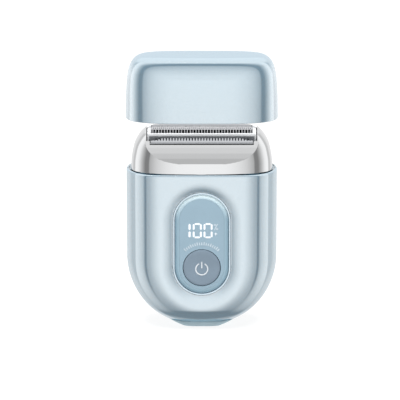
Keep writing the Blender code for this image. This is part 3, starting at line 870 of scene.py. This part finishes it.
def head_shell():
    """The plated head: a tapering shell with a slanted scoop, open above for the cutters."""
    outer = [(28.15, 13.3, 13.3, 64.7), (28.08, 13.2, 13.2, 67.0), (27.95, 13.1, 13.1, 69.0)]
    outer += [(27.5, 12.8, 12.8, 71.6), (26.65, 12.0, 12.0, 74.8), (25.4, 10.9, 10.9, 77.3)]
    outer += [(23.9, 9.6, 9.6, 79.4), (22.5, 8.2, 8.2, 80.75)]
    inner = [(22.0, 7.0, 7.4, 78.8), (23.8, 7.6, 9.2, 77.0), (25.0, 8.6, 10.4, 74.7)]
    inner += [(25.8, 10.4, 11.3, 71.4), (26.4, 11.5, 11.6, 69.0), (26.4, 11.6, 11.6, 64.7)]
    profile = smooth_rows(outer, 8)[::-1] + inner[::-1]
    rows = [plan(w, f, r, z, HEAD_ROUND, HEAD_POINTS) for w, f, r, z in profile]
    shell = skinned("head_shell", rows, CHROME, sharp=30)
    # The scoop is very slightly crowned.
    slope = []
    for k in range(9):
        share = k / 8
        crown = SCOOP_CROWN * 4 * share * (1 - share)
        y = SCOOP_START[0] + SCOOP_RUN * share - crown * 0.78
        slope.append((y, SCOOP_START[1] + SCOOP_RISE * share + crown * 0.62))
    before = [(-30, SCOOP_START[1] + SCOOP_RISE), (-30, SCOOP_START[1])]
    scoop = along_x("scoop", slope + before, -35, 35, CHROME)
    opening = block("opening", (-21.95, -7.85, 72.0), (21.95, 6.0, 90), CHROME)
    mouth = block("mouth", (-20.6, -20, 75.7), (20.6, -7.0, 90), CHROME)
    cut_away(shell, scoop, opening, mouth)
    soften(shell, 0.14)
    shell.data.shade_smooth()
    worked(shell, "WEIGHTED_NORMAL", "flats", keep_sharp=False, weight=100)
    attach(shell, "head")
    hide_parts("head_frame")


def on_arch(radius, turn):
    """A (y, z) point on the foil's arch, with its turn in degrees from the crown to the rear."""
    angle = math.radians(turn)
    return (radius * math.sin(angle), ARCH_CENTRE_Z + radius * math.cos(angle))


def curved_strip(start, end, steps, front_foot=False, rear_foot=False):
    """A (y, z) outline of a strip of foil along the arch, with a straight foot below either end."""
    turns = [start + (end - start) * k / steps for k in range(steps + 1)]
    faces = []
    for radius in (FOIL_RADIUS, FOIL_INSIDE):
        face = [on_arch(radius, t) for t in turns]
        if front_foot:
            face.insert(0, (-radius, FOIL_FOOT_Z))
        if rear_foot:
            face.append((radius, FOIL_FOOT_Z))
        faces.append(face)
    outside, inside = faces
    return outside + inside[::-1]


def foil_set():
    """The arched foil with its row of long slots, in its pale frame, with a grey strip of painted shadow
    between the frame and the comb.
    """
    # The sheet above the slots and the lip below them reach a degree under the ribs.
    sheet = curved_strip(SLOTS_TO - 1, 90, 30, rear_foot=True)
    lip = curved_strip(-90, SLOTS_FROM + 1, 8, front_foot=True)
    pieces = [
        along_x(name, outline, -FOIL_HALF_LENGTH, FOIL_HALF_LENGTH, NICKEL)
        for name, outline in (("foil_sheet", sheet), ("foil_lip", lip))
    ]
    rib = curved_strip(SLOTS_FROM, SLOTS_TO, 8)
    for k in range(RIB_COUNT):
        middle = (k - (RIB_COUNT - 1) / 2) * RIB_PITCH
        start, end = middle - RIB_HALF_WIDTH, middle + RIB_HALF_WIDTH
        pieces.append(along_x(f"foil_rib_{k:02d}", rib, start, end, NICKEL))
    for piece in pieces:
        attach(piece, "foil_cassette")
        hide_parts("shaving_foil")
    side = [(-5.6, 73.0), (-5.6, 79.4), (-5.45, 79.5), (-4.6, 79.55), (-2.6, 80.3), (0, 80.5)]
    side += [(2.6, 80.2), (4.6, 79.0), (5.45, 78.9), (5.6, 78.75), (5.6, 73.0)]
    cassette = along_x("foil_frame_bars", side, -21.6, 21.6, SILVER)
    cut_away(cassette, block("foil_gap", (-20.2, -4.6, 70), (20.2, 4.6, 90), SILVER))
    soften(cassette, 0.12)
    worked(cassette, "WEIGHTED_NORMAL", "flats", keep_sharp=False, weight=100)
    # Painted shadow: a grey strip on the lower front of the frame bar, where the gap above the comb is in
    # shade.
    gap_shadow = block("foil_frame_seal", (-20.9, -5.68, 76.0), (20.9, -5.4, 78.55), GAP_SHADOW)
    for piece in (cassette, gap_shadow):
        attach(piece, "foil_cassette")
        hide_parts("foil_frame")


def comb(name, half_length, bottom, top, depths, pitch, look, tab=None, taper=0.0, bent=0.0):
    """A flat comb facing front: a bar with tapered teeth along its upper edge."""
    root = top - TOOTH_HEIGHT
    outline = [(half_length, bottom), (half_length, root)]
    for k in range(int(2 * half_length / pitch)):
        start = half_length - k * pitch
        rise = TOOTH_HEIGHT
        if taper:
            # The teeth grow shorter towards both ends of the comb.
            rise *= min(1.0, max(0.12, (half_length - 1.2 - abs(start - pitch / 2)) / taper))
        tip = root + rise
        outline += [(start - 0.16 * pitch, root), (start - 0.3 * pitch, tip - rise * 0.12)]
        outline += [(start - 0.42 * pitch, tip), (start - 0.58 * pitch, tip)]
        outline += [(start - 0.7 * pitch, tip - rise * 0.12), (start - 0.84 * pitch, root)]
    outline += [(-half_length, root), (-half_length, bottom)]
    if tab:
        width, low = tab
        outline += [(-width, bottom), (-width, low), (width, low), (width, bottom)]
    rows = [[(x, y, z) for x, z in outline] for y in depths]
    made = skinned(name, rows, look)
    if bent:
        # The bar's lower half leans back, and so looks darker than its upper half.
        face, fold = depths[0], bottom + 0.72
        wedge = [(face - 1, bottom - 1), (face + bent + 0.6, bottom - 1), (face + bent, bottom)]
        wedge += [(face, fold), (face - 1, fold)]
        cut_away(made, along_x("wedge", wedge, -30, 30, look))
        smooth(made, 25)
    return made


def float_springs():
    """The two coil springs under the blades, in steel, carried on the drive."""
    for side in ("left", "right"):
        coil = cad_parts[f"blade_spring_{side}"]
        spring = bpy.data.objects.new(f"float_spring_{side}", coil.data.copy())
        spring.matrix_world = coil.matrix_world.copy()
        bpy.context.scene.collection.objects.link(spring)
        spring.data.materials.clear()
        spring.data.materials.append(STEEL)
        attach(spring, SPRING_BODY)
        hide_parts(f"blade_spring_{side}")
        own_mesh(spring)


def trimmer():
    """The fixed comb and the moving comb behind it."""
    fixed = comb("fixed_comb", 20.2, 76.0, 78.4, (-8.5, -7.85), 1.14, STEEL, taper=3.6, bent=0.42)
    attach(fixed, "head")
    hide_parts("trimmer_comb")
    # The moving comb is dark steel: painted shade behind the fixed comb.
    moving = comb("moving_comb", 19.0, 76.0, 78.2, (-7.5, -6.9), 1.3, SHADED_BLADE_STEEL, tab=(1.2, 69.0))
    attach(moving, "trimmer")
    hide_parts("trimmer_blade")


# ---------------------------------------------------------------- cap


def travel_cap():
    """The cap: a soft box with a tight edge round its front and back faces."""
    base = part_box("protective_cap")[0].z / MM
    # Half width, half depth and height over the base, up the outside and down the inside.
    outer = [(30.0, 14.3, 0.02), (30.12, 14.42, 0.2), (30.2, 14.5, 0.7), (30.1, 14.37, 5.0)]
    outer += [(29.95, 13.95, 10.0), (29.6, 13.1, 15.2), (29.2, 12.42, 18.0), (28.6, 11.82, 20.0)]
    outer += [(27.85, 11.28, 21.5), (27.1, 10.85, 22.5), (26.2, 10.4, 23.3), (25.1, 9.8, 23.9)]
    outer += [(23.7, 9.0, 24.3), (21.6, 7.7, 24.55)]
    outer += [(18.0, 5.8, 24.68), (9.0, 2.8, 24.7), (0.05, 0.05, 24.7)]
    inner = [(0.05, 0.05, 23.3), (19.5, 7.3, 23.3), (22.3, 8.5, 23.0), (24.7, 9.6, 22.0)]
    inner += [(26.5, 10.6, 20.4), (27.7, 11.3, 18.4), (28.4, 12.0, 15.0), (28.8, 12.9, 9.6)]
    inner += [(28.9, 13.35, 5.0), (29.0, 13.5, 0.2), (29.2, 13.65, 0.0), (29.75, 14.05, 0.0)]
    rows = []
    for width, depth, height in smooth_rows(outer, 6)[::-1] + inner[::-1]:
        # The mouth bows down at the middle of its front and back.
        bow = CAP_BOW * max(0.0, 1 - height / CAP_BOW_HEIGHT)
        flat = plan(width, depth, depth, base + height, CAP_ROUND, CAP_POINTS)
        rows.append([(x, y, z - bow * (y / HALF_DEPTH) ** 2) for x, y, z in flat])
    made = skinned("cap_shell", rows, CAP_LACQUER, capped=False, sharp=50)
    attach(made, "cap")
    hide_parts("protective_cap")
    # It hovers in the open, so it takes no light from the head below.
    made.visible_shadow = made.visible_glossy = made.visible_diffuse = False


# ---------------------------------------------------------------- carried-over pieces


def finish_inner_pieces():
    """Gives each piece that keeps its frame mesh its real material."""
    looks = {
        WHITE: ("battery_cradle", "chassis_frame", "drive_bracket", "blade_carrier"),
        BLACK: (
            "panel_carrier", "display_module", "switch_plunger", "usb_c_tongue", "motor_end_cap",
            "eccentric_cam", "head_seat", "trimmer_base",
        ),
        BOARD: ("main_pcb", "usb_board"),
        STEEL: (
            "tact_switch", "usb_c_shell", "motor_shaft", "deck_screw_left", "deck_screw_right",
            "battery_tab_left", "battery_tab_right",
        ),
        # Painted shade: the blade block is dark, so the foil slots above it look shaded.
        SHADED_BLADE_STEEL: ("inner_blade_block",),
        ZINC: ("motor_can",),
        SLEEVE: ("battery_cell",),
        RUBBER: ("drive_diaphragm",),
    }
    for look, names in looks.items():
        for name in names:
            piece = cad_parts[name]
            piece.data.materials.clear()
            piece.data.materials.append(look)


# ---------------------------------------------------------------- studio


def studio_light():
    """Even light for what is matt, and a tented studio with dark gaps for what shines."""
    world = bpy.data.worlds.new("tented_studio")
    bpy.context.scene.world = world
    world.use_nodes = True
    tree = world.node_tree
    tree.nodes.clear()
    ray = node(tree, "ShaderNodeTexCoord").outputs["Generated"]
    x, y, z = node(tree, "ShaderNodeSeparateXYZ", {"Vector": ray}).outputs
    kind = "ShaderNodeMath"
    degrees = 180 / math.pi

    # How far the light lies round from straight ahead, and how far above level.
    across = node(tree, kind, {0: x}, operation="ABSOLUTE").outputs[0]
    ahead = node(tree, kind, {0: y, 1: -1.0}, operation="MULTIPLY").outputs[0]
    around = node(tree, kind, {0: across, 1: ahead}, operation="ARCTAN2").outputs[0]
    turn = node(tree, kind, {0: around, 1: degrees}, operation="MULTIPLY").outputs[0]
    climb = node(tree, kind, {0: z}, operation="ARCSINE").outputs[0]
    rise = node(tree, kind, {0: climb, 1: degrees}, operation="MULTIPLY").outputs[0]

    # The front light is a rounded rectangle; rings of equal brightness run round it.
    wide = node(tree, kind, {0: turn, 1: FRONT_LIGHT_TURN}, operation="DIVIDE").outputs[0]
    wide = node(tree, kind, {0: wide, 1: 4.0}, operation="POWER").outputs[0]
    above = node(tree, kind, {0: rise, 1: FRONT_LIGHT_RISE}, operation="SUBTRACT").outputs[0]
    lift = node(tree, kind, {0: above, 1: FRONT_LIGHT_REACH}, operation="DIVIDE").outputs[0]
    lift = node(tree, kind, {0: lift, 1: 0.0}, operation="MAXIMUM").outputs[0]
    lift = node(tree, kind, {0: lift, 1: 0.95}, operation="MINIMUM").outputs[0]
    tall = node(tree, kind, {0: lift, 1: 4.0}, operation="POWER").outputs[0]
    ring = node(tree, kind, {0: wide, 1: tall}, operation="ADD").outputs[0]
    ring = node(tree, kind, {0: ring, 1: 0.25}, operation="POWER").outputs[0]
    half = node(tree, kind, {0: ring, 1: 0.5}, operation="MULTIPLY").outputs[0]
    rings = [(0.00, 1.12), (0.06, 1.10), (0.15, 0.97), (0.25, 0.80), (0.33, 0.63), (0.385, 0.53)]
    rings += [(0.41, 0.27), (0.50, 0.27), (0.56, 0.44), (0.62, 0.60), (0.70, 0.82), (0.79, 1.04)]
    rings += [(0.92, 1.15), (1.05, 1.13), (1.08, 0.72), (1.22, 0.68), (1.34, 0.88), (1.52, 0.92)]
    rings += [(1.80, 0.86)]
    shares = [(at / 2, v / BRIGHTEST_RING) for at, v in rings]
    stops = [(at, (share, share, share, 1.0)) for at, share in shares]
    band = node(tree, "ShaderNodeValToRGB", {"Fac": half}, stops).outputs["Color"]

    # Below the eye the light fades, most of all straight down, and it closes overhead and behind.
    fading = {"Value": rise, "From Min": -57.0, "From Max": -19.0}
    level = node(tree, "ShaderNodeMapRange", fading, interpolation_type="SMOOTHSTEP").outputs[0]
    sunk = {"Value": across, "From Min": 0.2, "From Max": 0.72, "To Min": 0.24, "To Max": 0.72}
    depths = node(tree, "ShaderNodeMapRange", sunk, interpolation_type="SMOOTHSTEP").outputs[0]
    lit = node(tree, kind, {0: band, 1: level}, operation="MULTIPLY").outputs[0]
    lit = node(tree, kind, {0: lit, 1: BRIGHTEST_RING}, operation="MULTIPLY").outputs[0]
    below = node(tree, kind, {0: 1.0, 1: level}, operation="SUBTRACT").outputs[0]
    below = node(tree, kind, {0: below, 1: depths}, operation="MULTIPLY").outputs[0]
    base = node(tree, kind, {0: lit, 1: below}, operation="ADD").outputs[0]
    behind = node(tree, kind, {0: y, 1: 0.0}, operation="MAXIMUM").outputs[0]
    behind = node(tree, kind, {0: behind, 1: 0.45}, operation="MULTIPLY").outputs[0]
    over = node(tree, kind, {0: z, 1: behind}, operation="ADD").outputs[0]
    closing = {"Value": over, "From Min": 0.72, "From Max": 0.9}
    roof = node(tree, "ShaderNodeMapRange", closing, interpolation_type="SMOOTHSTEP").outputs[0]
    left = node(tree, kind, {0: ROOF_LIGHT, 1: base}, operation="SUBTRACT").outputs[0]
    left = node(tree, kind, {0: roof, 1: left}, operation="MULTIPLY").outputs[0]
    share = node(tree, kind, {0: base, 1: left}, operation="ADD").outputs[0]

    # Shiny pieces see the rings, matt ones an even light, and the eye a white backdrop.
    shine = node(tree, "ShaderNodeBackground", {"Color": (1, 1, 1, 1), "Strength": share})
    even = node(tree, "ShaderNodeBackground", {"Color": (1, 1, 1, 1), "Strength": 0.55})
    sweep = node(tree, "ShaderNodeBackground", {"Color": (1, 1, 1, 1), "Strength": 1.0})
    path = node(tree, "ShaderNodeLightPath").outputs
    choice = {0: path["Is Glossy Ray"], 1: even.outputs[0], 2: shine.outputs[0]}
    mixed = node(tree, "ShaderNodeMixShader", choice)
    choice = {0: path["Is Camera Ray"], 1: mixed.outputs[0], 2: sweep.outputs[0]}
    mixed = node(tree, "ShaderNodeMixShader", choice)
    node(tree, "ShaderNodeOutputWorld", {"Surface": mixed.outputs[0]})


def overhead_panel():
    """A wide soft panel overhead that shapes what is matt; shiny pieces see the tent instead."""
    data = bpy.data.lights.new("overhead_panel", "AREA")
    data.shape = "SQUARE"
    data.size = 0.9
    data.energy = 22.0
    made = bpy.data.objects.new("overhead_panel", data)
    made.location = (0.0, -0.35, 1.2)
    made.rotation_mode = "QUATERNION"
    made.rotation_quaternion = (Vector((0, 0, 0.05)) - made.location).to_track_quat("-Z", "Y")
    made.visible_glossy = False
    bpy.context.scene.collection.objects.link(made)


def floor():
    """A plain pale floor that reaches past the view, seen by the eye but not by shiny pieces."""
    builder = bmesh.new()
    bmesh.ops.create_circle(builder, cap_ends=True, segments=64, radius=3000)
    look, tree, shader = blank("pale_floor_paint", Roughness=0.9, Specular_IOR_Level=0.1)
    place = node(tree, "ShaderNodeTexCoord").outputs["Object"]
    # Roller marks about 25 mm across.
    speck = node(tree, "ShaderNodeTexNoise", {"Vector": place, "Scale": 1 / (25 * MM)})
    stops = [(0.3, linear("7E7F7F")), (0.7, linear("828282"))]
    tint = node(tree, "ShaderNodeValToRGB", {"Fac": speck.outputs["Fac"]}, stops)
    tree.links.new(tint.outputs["Color"], shader.inputs["Base Color"])
    # Part of its light comes from behind, as on a lit table, so that shadows stay faint.
    shader.inputs["Emission Color"].default_value = linear("FFFFFF")
    shader.inputs["Emission Strength"].default_value = 0.85
    made = as_object("floor", builder, look)
    made.location.z = -0.02 * MM
    made.visible_glossy = False
    made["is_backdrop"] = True


def camera():
    """A long lens from the front, a little above the shaver."""
    low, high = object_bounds()
    data = bpy.data.cameras.new("long_lens")
    data.sensor_width = SENSOR_WIDTH
    data.lens = SENSOR_WIDTH * VIEW_DISTANCE / VIEW_WIDTH
    made = bpy.data.objects.new("long_lens", data)
    bpy.context.scene.collection.objects.link(made)
    aim = Vector((AIM_X * MM, (low.y + high.y) / 2, AIM_Z * MM))
    rise = math.radians(VIEW_RISE)
    back = Vector((0.0, -math.cos(rise), math.sin(rise)))
    made.location = aim + back * VIEW_DISTANCE
    made.rotation_mode = "QUATERNION"
    made.rotation_quaternion = (-back).to_track_quat("-Z", "Y")
    bpy.context.scene.camera = made


for old in ("Cube", "Light", "Camera"):
    if old in bpy.data.objects:
        bpy.data.objects.remove(bpy.data.objects[old])
bpy.context.scene.view_settings.view_transform = "Standard"
body_shells()
seam_baffle()
foot_sole()
panel()
figures()
arc_of_ticks()
head_shell()
foil_set()
trimmer()
float_springs()
travel_cap()
finish_inner_pieces()
studio_light()
overhead_panel()
floor()
camera()
